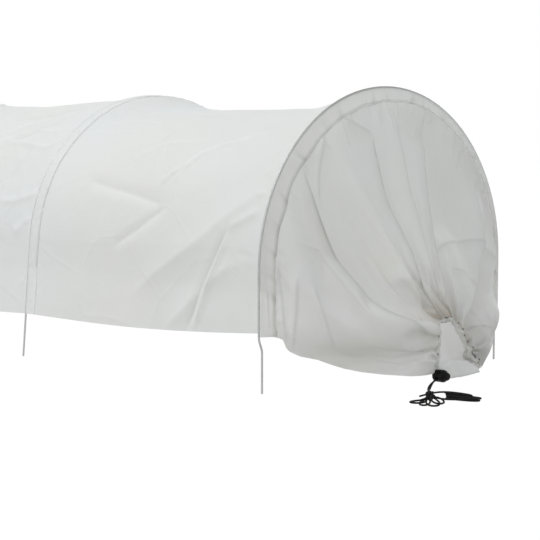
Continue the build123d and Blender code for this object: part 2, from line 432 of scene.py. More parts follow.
def cord_material():
    """Black braided cord: fine ribs and a dull sheen."""
    material, tap = new_material("black_braid")
    return coat(material, tap, {
        "Base Color": mixed_colour(tap, grain(tap, 120.0), *BRAID_SHADES),
        "Roughness": 0.75,
        "Specular IOR Level": 0.18,
        "Normal": bumped(tap, grain(tap, 900.0), 0.5, 0.4 * MM),
    })


black_braid = cord_material()


def make_cords():
    front_knot = knot_piece("front_knot")
    back_knot = turned_copy(front_knot, "back_knot")
    for end, knot in (("front", front_knot), ("back", back_knot)):
        finish_piece(knot, black_braid, "cord", f"{end}_cord_knot")
        for name in TAIL_HANDS:
            points = cord_points(name)
            if end == "back":
                points = half_turn(points)
            cord = cord_curve(f"{end}_drawstring_{name}", points)
            finish_piece(cord, black_braid, "cord", f"{end}_cord_tail_{name}", f"{end}_{CORD_LOOPS[name]}")
            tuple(points[0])


make_cords()


# Film


def arch_point(share, hem, splay, inset=0):
    """Y and Z on the hoop line, from the left hem over the crown to the right hem."""
    radius = HOOP_RADIUS - inset
    centre = HOOP_HEIGHT - HOOP_RADIUS
    side = radius * math.cos(splay)
    spring = centre + radius * math.sin(splay)
    leg = (spring - hem) / math.cos(splay)
    arc = radius * (math.pi - 2 * splay)
    run = share * (2 * leg + arc)
    if leg <= run <= leg + arc:
        angle = math.pi - splay - (run - leg) / radius
        return radius * math.cos(angle), centre + radius * math.sin(angle)
    hand = -1 if run < leg else 1
    down = leg - run if run < leg else run - leg - arc
    return hand * (side + down * math.sin(splay)), spring - down * math.cos(splay)


def film_grid(name, place, columns, rows):
    """A sheet of quads from a rule that places each share across and along, both kept as its UV map."""
    shares = [(column / columns, row / rows) for row in range(rows + 1) for column in range(columns + 1)]
    points = [place(across, along) for across, along in shares]
    faces = []
    for row in range(rows):
        for column in range(columns):
            corner = row * (columns + 1) + column
            faces.append((corner, corner + columns + 1, corner + columns + 2, corner + 1))
    sheet = plain_mesh(name, points, faces)
    layer = sheet.data.uv_layers.new(name="film")
    for loop in sheet.data.loops:
        layer.data[loop.index].uv = shares[loop.vertex_index]
    return sheet


FILM_MASS = 0.15
DRAW_FRAMES = 20
RELAX_FRAMES = 34
COMPRESSION_SHARE = 0.7
SHEAR_SHARE = 0.3


def hold(sheet, rows, columns, held_rows, target):
    """Pin whole rows of a sheet and draw them from the cut to where they are sewn."""
    edge = columns + 1
    sheet.shape_key_add(name="cut")
    sewn = sheet.shape_key_add(name="sewn")
    pinned = []
    for row in held_rows:
        for column in range(edge):
            index = row * edge + column
            pinned.append(index)
            sewn.data[index].co = target(column / columns, row / rows)
    sewn.value = 0
    sewn.keyframe_insert("value", frame=1)
    sewn.value = 1
    sewn.keyframe_insert("value", frame=DRAW_FRAMES)
    group = sheet.vertex_groups.new(name="held")
    group.add(pinned, 1.0, "REPLACE")


def make_cloth(sheet, stiffness, bending, gravity):
    """Film as simulated cloth, held along its pinned rows."""
    cloth = sheet.modifiers.new("cloth", "CLOTH")
    settings = cloth.settings
    settings.quality = 6
    settings.mass = FILM_MASS
    settings.air_damping = 2
    settings.tension_stiffness = stiffness
    settings.compression_stiffness = stiffness * COMPRESSION_SHARE
    settings.shear_stiffness = stiffness * SHEAR_SHARE
    settings.bending_stiffness = bending
    settings.tension_damping = 10
    settings.compression_damping = 10
    settings.shear_damping = 5
    settings.bending_damping = 1
    settings.vertex_group_mass = "held"
    settings.effector_weights.gravity = gravity
    cloth.point_cache.frame_start = 1
    cloth.point_cache.frame_end = RELAX_FRAMES


def relax():
    """Step the film until it hangs still."""
    scene = bpy.context.scene
    scene.frame_start = 1
    scene.frame_end = RELAX_FRAMES
    for step in range(1, RELAX_FRAMES + 1):
        scene.frame_set(step)


def settled(sheet, name):
    """The simulated sheet as a plain mesh with its faces halved."""
    graph = bpy.context.evaluated_depsgraph_get()
    mesh = bpy.data.meshes.new_from_object(sheet.evaluated_get(graph))
    bpy.data.objects.remove(sheet)
    piece = placed(name, mesh)
    add_modifier(piece, "SUBSURF", levels=1, render_levels=1)
    return smooth(piece)


def film_shares(piece):
    """Shares across and along of every vertex of a sheet, as two arrays."""
    count = len(piece.data.loops)
    corners = np.zeros(count, dtype=np.int32)
    piece.data.loops.foreach_get("vertex_index", corners)
    pairs = np.zeros(count * 2, dtype=np.float32)
    piece.data.uv_layers["film"].data.foreach_get("uv", pairs)
    shares = np.zeros((len(piece.data.vertices), 2))
    shares[corners] = pairs.reshape(-1, 2)
    return shares[:, 0], shares[:, 1]


def note(piece, name, values):
    """Keep one number per vertex for the material."""
    layer = piece.data.attributes.new(name, "FLOAT", "POINT")
    layer.data.foreach_set("value", np.asarray(values, dtype=np.float32))


def spots(piece):
    """Places of all vertices as rows of an array."""
    places = np.zeros(len(piece.data.vertices) * 3, dtype=np.float32)
    piece.data.vertices.foreach_get("co", places)
    return places.reshape(-1, 3)


def push(piece, offsets):
    """Move every vertex by its own offset."""
    moved = (spots(piece) + offsets).astype(np.float32)
    piece.data.vertices.foreach_set("co", moved.ravel())
    piece.data.update()


def wave(across, along, waves, seed):
    """Noise over a sheet, with a number of waves across and along it."""
    return noise.noise((across * waves[0], along * waves[1], seed))


def rising(values, first, last):
    """0 up to the first value, 1 from the last one on and straight between them."""
    return np.clip((values - first) / (last - first), 0, 1)


# Creases: height and reach in mm, how dark the painted shade on their line is (a painted highlight below
# 0), and a route in shares across and along

FOLD_LINE = 3.5 * MM
PLEAT_EDGE = 5 * MM
PLEAT_SHADE_SHARE = 0.36
CREASE_FADE_SHARE = 0.14
CREASE_END_SHARE = 0.1
SEAM_FLAT_SHARE = 0.03
TUCK_SPAN_SHARES = (0.02, 0.98)
TUCK_SLANT_SHARE = 0.014
TUCK_WIDTHS = (7, 13)


def from_line(right, up, stops):
    """Distance from a bent line, share of the way along it and side of it, for arrays of flat places."""
    runs = np.linalg.norm(np.diff(stops, axis=0), axis=1)
    best = np.full(len(right), np.inf)
    place, hand = np.zeros((2, len(right)))
    for index, run in enumerate(runs):
        step = stops[index + 1] - stops[index]
        offset_x = right - stops[index][0]
        offset_y = up - stops[index][1]
        part = np.clip((offset_x * step[0] + offset_y * step[1]) / run ** 2, 0, 1)
        gap = np.hypot(offset_x - part * step[0], offset_y - part * step[1])
        nearer = gap < best
        best = np.where(nearer, gap, best)
        hand = np.where(nearer, np.sign(step[0] * offset_y - step[1] * offset_x), hand)
        place = np.where(nearer, (runs[:index].sum() + part * run) / runs.sum(), place)
    return best, place, hand


def press_creases(piece, creases, width, length, pleated=False):
    """Press ridges, or pleats with a step on one side, into a sheet and note the painted shade of their
    dark lines and the painted highlight of their pale ones.
    """
    across, along = film_shares(piece)
    lift, fold, ridge = np.zeros((3, len(across)))
    for height, reach, dark, route in creases:
        gap, place, hand = from_line(across * width, along * length, np.array(route) * (width, length))
        fade = np.clip(np.minimum(place, 1 - place) / CREASE_FADE_SHARE, CREASE_END_SHARE, 1)
        slope = np.clip(1 - gap / (reach * MM), 0, 1) ** 2
        line = fade * np.clip(1 - gap / FOLD_LINE, 0, 1)
        if pleated:
            slope = slope * np.clip(0.5 + hand * gap / PLEAT_EDGE, 0, 1)
            # Painted shade also over the raised side of each pleat.
            line = np.maximum(line, PLEAT_SHADE_SHARE * fade * slope)
        lift += height * MM * fade * slope
        # Dark lines are painted shade, pale lines (dark below 0) a painted highlight.
        fold = np.maximum(fold, dark * line)
        ridge = np.maximum(ridge, -dark * line)
    lift *= np.clip(np.minimum(along, 1 - along) / SEAM_FLAT_SHARE, 0, 1)
    normals = np.zeros(len(across) * 3, dtype=np.float32)
    piece.data.vertices.foreach_get("normal", normals)
    push(piece, normals.reshape(-1, 3) * lift[:, None])
    note(piece, "fold", fold)
    note(piece, "ridge", ridge)


def seam_tucks(seed, at, count, reaches, heights, darks):
    """Short tucks where a sheet is sewn to a sleeve, at one end of its length."""
    draw = random.Random(seed)
    tucks = []
    for _ in range(count):
        across = draw.uniform(*TUCK_SPAN_SHARES)
        reach = draw.uniform(*reaches)
        inner = at + reach if at == 0 else at - reach
        route = [(across, at), (across + draw.uniform(-TUCK_SLANT_SHARE, TUCK_SLANT_SHARE), inner)]
        tucks.append((draw.uniform(*heights), draw.uniform(*TUCK_WIDTHS), draw.uniform(*darks), route))
    return tucks


def blended(table, share):
    """Straight-line reading of a short table of pairs."""
    for (start, first), (end, last) in zip(table, table[1:]):
        if share <= end:
            return first + (last - first) * (share - start) / (end - start)
    return table[-1][1]


# Film of the bays

BAY_COLUMNS = 300
BAY_ROWS = 144
FILM_GIRTH = 0.97
FILM_LENGTH = 0.5
BAY_SAG = [
    (0, 6 * MM), (0.12, 3 * MM), (0.3, 8 * MM), (0.42, 18 * MM), (0.5, 23 * MM),
    (0.58, 18 * MM), (0.7, 8 * MM), (0.88, 3 * MM), (1, 6 * MM),
]
SAG_POWER = 4
BAY_SAG_SHARES = [1.3, 0.4, 0.9, 1.1, 0.8, 1.2]
BAY_SWAY = 5 * MM
SWAY_WAVES = (5, 2.2)
SWAY_SEED = 7.3
RIPPLE_SHARE = 0.3
RIPPLE_WAVES = (11, 5)
RIPPLE_SEED = 3.7
HEM_DIP = 8 * MM
BAY_LAP = 1.5 * MM
HEM_DIP_SHARE = 0.08
CREASE_GAIN = 2.6
FRONT_BAY_CREASES = [
    (-1.2, 22, 0.12, [(0.223, 0.168), (0.202, 0.387), (0.181, 0.566)]),
    (-1.2, 18, 0.12, [(0.181, 0.566), (0.142, 0.453), (0.113, 0.344)]),
    (0.9, 11, -0.6, [
        (0.208, 0.483), (0.228, 0.522), (0.254, 0.58), (0.283, 0.636), (0.305, 0.746), (0.322, 0.835),
    ]),
    (0.8, 10, -0.6, [(0.212, 0.552), (0.239, 0.576), (0.273, 0.62), (0.294, 0.699), (0.311, 0.828)]),
    (0.8, 14, -0.4, [(0.325, 0.02), (0.332, 0.17), (0.348, 0.312)]),
    (-0.8, 14, 0.1, [(0.348, 0.312), (0.336, 0.406), (0.279, 0.384)]),
    (0.7, 12, -0.4, [(0.258, 0.319), (0.296, 0.404), (0.305, 0.639)]),
    (1.8, 45, -0.2, [(0.047, 0.45), (0.131, 0.747), (0.211, 0.981)]),
    (-1.3, 12, 0.4, [(0.0, 0.683), (0.08, 0.777), (0.148, 0.856)]),
    (1.2, 12, 0.2, [(0.0, 0.717), (0.081, 0.807), (0.139, 0.868)]),
    (1.0, 16, -0.5, [(0.148, 0.856), (0.161, 0.918), (0.174, 0.978)]),
    (1.3, 30, 0.0, [(0.0, 0.594), (0.058, 0.759), (0.098, 0.898)]),
    (0.8, 16, -0.3, [(0.36, 0.06), (0.372, 0.2), (0.36, 0.33)]),
    (-0.8, 18, 0.1, [(0.4, 0.1), (0.41, 0.34), (0.39, 0.62)]),
]
SECOND_BAY_CREASES = [
    (1.0, 14, -0.6, [(0.308, 0.582), (0.343, 0.716), (0.376, 0.898)]),
    (1.0, 14, -0.6, [(0.303, 0.623), (0.285, 0.917), (0.302, 0.98)]),
    (0.9, 16, -0.4, [(0.177, 0.781), (0.182, 0.891), (0.198, 0.997)]),
    (0.8, 16, -0.4, [(0.126, 0.899), (0.156, 0.99)]),
    (-1.0, 14, 0.2, [(0.295, 0.669), (0.31, 0.744), (0.361, 0.875)]),
    (-0.8, 14, 0.15, [(0.215, 0.798), (0.29, 0.841)]),
    (1.2, 30, 0.0, [(0.05, 0.2), (0.16, 0.42), (0.24, 0.6)]),
    (-1.0, 20, 0.1, [(0.24, 0.1), (0.2, 0.34), (0.14, 0.5)]),
    (-1.0, 14, 0.2, [(0.36, 0.55), (0.372, 0.72), (0.41, 0.9)]),
    (1.0, 14, -0.4, [(0.4, 0.5), (0.41, 0.68), (0.435, 0.86)]),
    (0.9, 12, -0.5, [(0.33, 0.78), (0.32, 0.88), (0.335, 0.97)]),
]
BAY_TUCKS = {"count": 16, "reaches": (0.03, 0.11), "heights": (-0.9, 0.9), "darks": (-0.1, 0.1)}
STRAY_COUNT = 26
STRAY_ACROSS_SHARES = (0.03, 0.97)
STRAY_ALONG_SHARES = (0.05, 0.95)
STRAY_REACH_SHARES = (0.04, 0.16)
STRAY_BEND_SHARE = 0.03
STRAY_HEIGHTS = (0.3, 0.8)
STRAY_WIDTHS = (12, 30)


def stray_creases(seed):
    """Faint creases of handling, at random over a bay."""
    draw = random.Random(seed)
    creases = []
    for _ in range(STRAY_COUNT):
        across = draw.uniform(*STRAY_ACROSS_SHARES)
        along = draw.uniform(*STRAY_ALONG_SHARES)
        angle = draw.uniform(0, math.pi)
        reach = draw.uniform(*STRAY_REACH_SHARES)
        step_across = reach * math.cos(angle)
        step_along = 2 * reach * math.sin(angle)
        bend = draw.uniform(-STRAY_BEND_SHARE, STRAY_BEND_SHARE)
        route = [
            (across - step_across, along - step_along),
            (across + bend, along + bend),
            (across + step_across, along + step_along),
        ]
        height = draw.choice([-1, 1]) * draw.uniform(*STRAY_HEIGHTS)
        creases.append((height, draw.uniform(*STRAY_WIDTHS), 0.0, route))
    return creases


def far_side(creases, turned):
    """The same creases on the other wall, also turned end for end where asked."""
    moved = []
    for height, reach, dark, route in creases:
        mirrored = [(1 - across, 1 - along if turned else along) for across, along in route]
        moved.append((height, reach, dark, mirrored))
    return moved


def bay_creases(number):
    """Creases of one bay: those of the near wall, those of the far wall, tucks and stray ones."""
    near, far = FRONT_BAY_CREASES, SECOND_BAY_CREASES
    if number % 2 == 0:
        near, far = far, near
    creases = near + far_side(far, number % 2 == 0)
    if number > BAY_COUNT / 2:
        creases = far_side(far_side(near, True), False) + far_side(far, False)
    creases = [(height * CREASE_GAIN, reach, dark, route) for height, reach, dark, route in creases]
    for at in (0, 1):
        creases += seam_tucks(number * 10 + at, at, **BAY_TUCKS)
    return creases + stray_creases(number)


def bay_sheet(number):
    """Film between two sleeves: it sags at the crown, sways a little and its hem dips between the hoops."""
    low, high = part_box(f"cover_bay_{number}")
    start = low.x - BAY_LAP
    span = high.x + BAY_LAP - start
    centre = HOOP_HEIGHT - HOOP_RADIUS

    def between(values, along):
        return values[number] + (values[number - 1] - values[number]) * along

    def place(across, along):
        y, z = arch_point(across, between(HEM_HEIGHTS, along), between(LEG_SPLAYS, along))
        window = 1 - abs(2 * along - 1) ** SAG_POWER
        outward = Vector((0, y, max(z - centre, 0))).normalized()
        sway = wave(across, along, SWAY_WAVES, number * SWAY_SEED)
        sway += RIPPLE_SHARE * wave(across, along, RIPPLE_WAVES, number * RIPPLE_SEED)
        spot = Vector((start + span * along, y, z))
        spot += outward * window * (BAY_SWAY * sway - BAY_SAG_SHARES[number - 1] * blended(BAY_SAG, across))
        edge = max(0, 1 - min(across, 1 - across) / HEM_DIP_SHARE)
        spot.z -= HEM_DIP * edge * (1 - (2 * along - 1) ** 2)
        return spot

    bay = smooth(film_grid(f"bay_film_{number}", place, BAY_COLUMNS, BAY_ROWS))
    press_creases(bay, bay_creases(number), FILM_GIRTH, FILM_LENGTH)
    return bay


# Film of the drawn-in ends

GATHER_COLUMNS = 180
GATHER_ROWS = 56
RIM_REACH = SLEEVE_WIDTH - SEAM_LAP
RIM_INSET = RIM_REACH * math.sin(END_SLEEVE_LEAN) + SEAM_DROP * math.cos(END_SLEEVE_LEAN)
RIM_X = HOOP_X[0] + RIM_REACH * math.cos(END_SLEEVE_LEAN) - SEAM_DROP * math.sin(END_SLEEVE_LEAN)
GATHER_BENDING = 150
GATHER_STIFFNESS = 60
GATHER_GRAVITY = 0.4
GATHER_FULLNESS = 2.8
GATHER_SEED = 9
CUT_WAVE = 4 * MM
CUT_WAVES = (9, 3)
CUT_SEED = GATHER_SEED + 3
GATHER_SLACK = [
    (0, 1.13), (0.06, 1.11), (0.2, 1.06), (0.35, 1.03), (0.5, 1.02),
    (0.65, 1.03), (0.8, 1.09), (0.9, 1.12), (1, 1.10),
]
GATHER_LENGTH = 0.29
GATHER_CREASES = [
    (3.0, 34, 0.55, [(0.273, 0.0), (0.245, 0.15), (0.208, 0.365), (0.19, 0.645), (0.212, 0.985)]),
    (2.5, 30, 0.3, [(0.38, 0.01), (0.435, 0.135)]),
    (3.5, 34, 0.6, [(0.435, 0.135), (0.43, 0.19), (0.422, 0.39), (0.43, 0.675), (0.417, 0.91)]),
    (3.0, 26, 0.35, [(0.487, 0.015), (0.495, 0.11), (0.492, 0.415), (0.52, 0.69), (0.552, 0.915)]),
    (3.0, 26, 0.45, [(0.573, 0.015), (0.588, 0.195), (0.573, 0.495), (0.573, 0.965)]),
    (2.0, 24, 0.3, [(0.753, 0.0), (0.812, 0.425), (0.755, 0.84)]),
    (2.4, 24, 0.1, [(0.125, 0.03), (0.06, 0.06), (0.0, 0.09)]),
    (2.4, 22, 0.14, [(0.12, 0.15), (0.07, 0.145), (0.0, 0.12)]),
    (1.6, 18, 0.12, [(0.128, 0.245), (0.037, 0.385)]),
    (1.6, 20, 0.12, [(0.16, 0.105), (0.19, 0.26), (0.145, 0.56)]),
    (1.6, 20, 0.12, [(0.03, 0.385), (0.055, 0.73), (0.105, 0.98)]),
    (1.6, 20, 0.1, [(0.0, 0.305), (0.037, 0.6), (0.04, 0.94)]),
    (1.6, 16, 0.25, [(0.61, 0.69), (0.932, 0.005)]),
    (1.6, 16, 0.2, [(0.645, 0.695), (0.878, 0.55)]),
    (1.6, 16, 0.2, [(0.748, 0.96), (0.925, 0.535)]),
    (2.0, 18, 0.15, [(0.34, 0.0), (0.255, 0.185)]),
]
PLEAT_GAIN = 1.7
# Gain on how dark the pleats' painted shade is.
PLEAT_DARK = 1.7
RIM_TUCKS = {"count": 46, "reaches": (0.05, 0.16), "heights": (0.8, 2.0), "darks": (0.03, 0.22)}

# Slack of the end film: a bag to the right of the mouth, a foot to the left, and their hems' heights in mm
BAG_OUTWARD = Vector((6, 12, 2)) * MM
BAG_HEM_BOW = Vector((2, 6, 0)) * MM
BAG_START_SHARE = 0.7
BAG_SPAN_SHARE = 0.9
SWELL_POWER = 0.6
HEM_REACH_SHARE = 0.2
HEM_POWER = 1.5
EDGE_SHARE = 0.0001
LEFT_HEM = [
    (0, 76), (0.04, 74), (0.065, 71), (0.078, 62), (0.1, 55.5), (0.16, 48.5), (0.26, 43),
    (0.33, 36.5), (0.4, 30.5), (0.5, 25), (0.6, 22), (0.75, 20), (0.9, 21), (1, 24),
]
RIGHT_HEM = [(0, 76), (0.11, 68), (0.19, 52), (0.35, 34), (0.53, 27), (0.7, 23), (0.87, 18), (1, 18)]
# Painted shade on the slack film: the bag and the foot darker, and the bag browner, as they hang double and
# away from the light.
BAG_SHADE = 0.28
BAG_SHADE_TINT = 0.24
BAG_ACROSS_SHARES = (0.7, 0.82)
BAG_ALONG_SHARES = (0.15, 0.5)
BAG_HEM_SHARES = (0.88, 0.98)
FOOT_SHADE = 0.2
FOOT_ACROSS_SHARES = (0.3, 0)
FOOT_ALONG_SHARES = (0.05, 0.4)
# The foot is also browner towards its left edge.
FOOT_TINT = 0.14
FOOT_TINT_ACROSS_SHARES = (0.3, 0.15)
FOOT_TINT_ALONG_SHARES = (0.05, 0.25)
# Browner film where it bunches in layers round the drawstring, in blotches.
BUNCH_ACROSS_SHARES = (0.1, 0.3)
BUNCH_ALONG_SHARES = (0.66, 1)
BUNCH_POWER = 1.5
BLOTCH_WAVES = (26, 5)
BLOTCH_SEED = 2.3
BLOTCH_FLOOR = 0.75

# The mouth's corners from the cord lock, and the shares of the film that are drawn to each side
MOUTH_TOP_LEFT = Vector((0, 2, 71)) * MM
MOUTH_TOP_RIGHT = Vector((0, 27, 72)) * MM
MOUTH_CORNER = Vector((0, 80, 0)) * MM
MOUTH_START_SHARE = 0.13
MOUTH_START = MOUTH_TOP_LEFT * MOUTH_START_SHARE
MOUTH_TOP_LEFT_SHARE = 0.3
MOUTH_TOP_RIGHT_SHARE = 0.6
MOUTH_STAND_OFF = 5 * MM
MOUTH_SETBACK = 2 * MM
RAGGED_WAVES = (23, 1.7)
RAGGED_OUT = 2 * MM
RAGGED_FORWARD = 6 * MM


def mouth_point(share):
    """Point on the mouth's edge for a share of the film's width, ragged as gathered film is."""
    stops = [0, MOUTH_TOP_LEFT_SHARE, MOUTH_TOP_RIGHT_SHARE, 1]
    corners = [MOUTH_START, MOUTH_TOP_LEFT, MOUTH_TOP_RIGHT, MOUTH_CORNER]
    for start, end, first, last in zip(stops, stops[1:], corners, corners[1:]):
        if share <= end:
            break
    heading = (last - first).normalized()
    outward = Vector((0, -heading.z, heading.y))
    ragged = wave(share, 1, RAGGED_WAVES, GATHER_SEED)
    spot = LOCK_PLACE + first + (last - first) * (share - start) / (end - start)
    spot += outward * (MOUTH_STAND_OFF + RAGGED_OUT * ragged)
    spot.x += RAGGED_FORWARD * ragged - MOUTH_SETBACK
    return spot


def gather_sheet():
    """Funnel of film past the end sleeve, cut fuller than the mouth that its hem is then drawn to."""
    centre = LOCK_PLACE + (MOUTH_START + MOUTH_TOP_LEFT + MOUTH_TOP_RIGHT + MOUTH_CORNER) / 4

    def cut(across, along):
        y, z = arch_point(across, END_HEM_HEIGHT, 0, RIM_INSET)
        start = Vector((RIM_X, y, z))
        drawn = mouth_point(across)
        full = centre + (drawn - centre) * GATHER_FULLNESS
        full.x += CUT_WAVE * wave(across, 1, CUT_WAVES, CUT_SEED)
        reach = (drawn - start).length * blended(GATHER_SLACK, across)
        spot = start + (full - start).normalized() * reach * along
        spot.x += CUT_WAVE * math.sin(math.pi * along) * wave(across, along, CUT_WAVES, CUT_SEED)
        return spot

    def sewn(across, along):
        return mouth_point(across) if along else cut(across, 0)

    sheet = film_grid("gather_cut", cut, GATHER_COLUMNS, GATHER_ROWS)
    hold(sheet, GATHER_ROWS, GATHER_COLUMNS, (0, GATHER_ROWS), sewn)
    make_cloth(sheet, GATHER_STIFFNESS, GATHER_BENDING, GATHER_GRAVITY)
    return sheet


def bag_out(piece):
    """Let the slack film on the right of the mouth hang out past the hoop's leg."""
    across, along = film_shares(piece)
    side = rising(across, BAG_START_SHARE, 1)
    swell = np.sin(np.pi * np.clip(side * BAG_SPAN_SHARE, 0, 1)) * np.sin(np.pi * along ** SWELL_POWER)
    push(piece, swell[:, None] * np.array(BAG_OUTWARD))


def hang_hem(piece, edge, heights, straight, bow):
    """Bring one free edge of the end film to its height above the ground, and to a bow in plan if asked."""
    across, along = film_shares(piece)
    places = spots(piece)
    gap = np.abs(across - edge)
    on_edge = np.flatnonzero(gap < EDGE_SHARE)
    on_edge = on_edge[np.argsort(along[on_edge])]
    now = np.stack([np.interp(along, along[on_edge], places[on_edge, axis]) for axis in range(3)], axis=1)
    first, last = places[on_edge[0]], places[on_edge[-1]]
    want = first + (last - first) * along[:, None]
    want = want + np.sin(np.pi * along ** SWELL_POWER)[:, None] * np.array(bow)
    offsets = (want - now) * straight
    shares, levels = zip(*heights)
    offsets[:, 2] = np.interp(along, shares, np.array(levels) * MM) - now[:, 2]
    weight = np.clip(1 - gap / HEM_REACH_SHARE, 0, 1) ** HEM_POWER
    push(piece, offsets * weight[:, None])


def warm_tint(piece):
    """Note where the film looks browner: where it bunches in layers round the drawstring, in the bag as
    painted shade, and at the foot.
    """
    across, along = film_shares(piece)
    blotch = [wave(first, last, BLOTCH_WAVES, BLOTCH_SEED) for first, last in zip(across, along)]
    tint = rising(along, *BUNCH_ALONG_SHARES) ** BUNCH_POWER * np.clip(BLOTCH_FLOOR + np.array(blotch), 0, 1)
    tint = tint * rising(across, *BUNCH_ACROSS_SHARES)
    # The bag's brown is painted shade, as it hangs double and away from the light.
    bag = BAG_SHADE_TINT * rising(across, *BAG_ACROSS_SHARES) * rising(along, *BAG_ALONG_SHARES)
    foot = FOOT_TINT * rising(across, *FOOT_TINT_ACROSS_SHARES) * rising(along, *FOOT_TINT_ALONG_SHARES)
    note(piece, "tint", np.maximum(tint, np.maximum(bag, foot)))


def shade_slack(piece):
    """Darken the slack film beside the mouth, which hangs double and away from the light."""
    across, along = film_shares(piece)
    fold = np.zeros(len(across), dtype=np.float32)
    layer = piece.data.attributes["fold"].data
    layer.foreach_get("value", fold)
    bag = rising(across, *BAG_ACROSS_SHARES) * rising(along, *BAG_ALONG_SHARES)
    bag = bag * (1 + rising(across, *BAG_HEM_SHARES))
    foot = rising(across, *FOOT_ACROSS_SHARES) * rising(along, *FOOT_ALONG_SHARES)
    shade = np.clip(fold + BAG_SHADE * bag + FOOT_SHADE * foot, 0, 1)
    layer.foreach_set("value", shade.astype(np.float32))


# Look of the film

PASSED_LIGHT = (0.875, 0.88, 0.875, 1)
# Brown of the tint: film bunched in layers round the drawstring, and painted shade in the slack bag.
WARM_TINT_COLOUR = (0.56, 0.49, 0.41, 1)
# Colour of the painted shade.
PAINTED_SHADE_COLOUR = (0.36, 0.35, 0.335, 1)
# Colour of the painted highlight along pale creases and the flap's crest.
PAINTED_HIGHLIGHT_COLOUR = (0.98, 0.99, 1.0, 1)
WARM_TINT_SHARE = 0.9
# How much less light passes through the tint and through the painted shade.
WARM_TINT_BLOCKS_SHARE = 0.6
PAINTED_SHADE_BLOCKS_SHARE = 0.8
WARP_SHARE = 0.12
CELL_EDGE_SHARE = 0.25
CELL_STOPS = [(0.0, 1.0), (0.05, 0.25), (0.3, 0.0)]
CLOUD_STOPS = [(0.36, 0.0), (0.64, 1.0)]


def crumpled(tap):
    """Bump of the film's fine crumples: the sharp edges of bent cells, and noise."""
    place = tap.node("ShaderNodeTexCoord", output="Object")
    warp = tap.node("ShaderNodeTexNoise", output="Color", inputs={"Vector": place, "Scale": 6.0})
    bent = tap.node(
        "ShaderNodeMix",
        output=1,
        settings={"data_type": "VECTOR"},
        inputs={0: WARP_SHARE, 4: place, 5: warp},
    )
    cells = tap.node(
        "ShaderNodeTexVoronoi",
        settings={"feature": "DISTANCE_TO_EDGE"},
        inputs={"Vector": bent, "Scale": 9.0},
    )
    edges = tap.node("ShaderNodeValToRGB", settings={"stops": CELL_STOPS}, inputs={0: cells})
    fine = tap.node("ShaderNodeTexNoise", inputs={"Vector": bent, "Scale": 22.0, "Detail": 3.0})
    return bumped(tap, edges * CELL_EDGE_SHARE + fine, 0.35, 4 * MM)


def film_material(name, tint, cool, see_through, patches=3.0, passing=0.45, wire_shows=0):
    """Milky film: part of the light passes, and creases catch the rest."""
    material, tap = new_material(name)
    bump = crumpled(tap)
    warm_tinted = noted(tap, "tint")
    painted_shade = noted(tap, "fold")
    patchy = grain(tap, patches, 3.0)
    cloud = tap.node("ShaderNodeValToRGB", settings={"stops": CLOUD_STOPS}, inputs={0: patchy})
    colour = mixed_colour(tap, cloud, tint, cool)
    # Browner where the tint is noted.
    colour = mixed_colour(tap, warm_tinted * WARM_TINT_SHARE, colour, WARM_TINT_COLOUR)
    # Painted shade where noted: creases, pleats, tucks, seams, wire wraps and slack film.
    colour = mixed_colour(tap, painted_shade, colour, PAINTED_SHADE_COLOUR)
    # Painted highlight where noted.
    colour = mixed_colour(tap, noted(tap, "ridge"), colour, PAINTED_HIGHLIGHT_COLOUR)
    surface = {"Base Color": colour, "Roughness": 0.42, "Normal": bump}
    skin = tap.node("ShaderNodeBsdfPrincipled", inputs=surface)
    through = tap.node("ShaderNodeBsdfTranslucent", inputs={"Color": PASSED_LIGHT, "Normal": bump})
    # Less light passes where shade is painted and where the film is tinted.
    passed = passing * (1 - PAINTED_SHADE_BLOCKS_SHARE * painted_shade) * (1 - WARM_TINT_BLOCKS_SHARE * warm_tinted)
    film = tap.node("ShaderNodeMixShader", inputs={0: passed, 1: skin, 2: through})
    if wire_shows:
        see_through = see_through + noted(tap, "clear") * wire_shows
    clear = tap.node("ShaderNodeBsdfTransparent")
    film = tap.node("ShaderNodeMixShader", inputs={0: see_through, 1: film, 2: clear})
    return show(material, film)


milky_film = film_material("milky_film", (0.865, 0.86, 0.84, 1), (0.855, 0.885, 0.9, 1), 0.04)
end_film = film_material("end_film", (0.895, 0.89, 0.85, 1), (0.9, 0.9, 0.915, 1), 0.04, 8.0)
sleeve_film = film_material(
    "sleeve_film", (0.88, 0.88, 0.87, 1), (0.88, 0.9, 0.91, 1), 0.06, passing=0.4, wire_shows=0.85
)
end_sleeve_film = film_material(
    "end_sleeve_film", (0.955, 0.95, 0.92, 1), (0.955, 0.955, 0.95, 1), 0.14, passing=0.5, wire_shows=0.7
)


def forget_shares(piece):
    piece.data.uv_layers.remove(piece.data.uv_layers["film"])


def make_film():
    gather_cut = gather_sheet()
    relax()
    gather = settled(gather_cut, "front_gather_film")
    bag_out(gather)
    hang_hem(gather, 0, LEFT_HEM, 0, Vector())
    hang_hem(gather, 1, RIGHT_HEM, 1, BAG_HEM_BOW)
    pleats = [
        (height * PLEAT_GAIN, reach, dark * PLEAT_DARK, route)
        for height, reach, dark, route in GATHER_CREASES
    ]
    pleats += seam_tucks(GATHER_SEED, 0, **RIM_TUCKS)
    press_creases(gather, pleats, FILM_GIRTH, GATHER_LENGTH, pleated=True)
    shade_slack(gather)
    warm_tint(gather)
    forget_shares(gather)
    for end, piece in (("front", gather), ("back", turned_copy(gather, "back_gather_film"))):
        finish_piece(piece, end_film, "film", f"{end}_gather")
    for number in range(1, BAY_COUNT + 1):
        bay = bay_sheet(number)
        forget_shares(bay)
        finish_piece(bay, milky_film, "film", f"cover_bay_{number}")


make_film()


# Sleeves round the wires, with the look of an end sleeve from its left hem to its right one

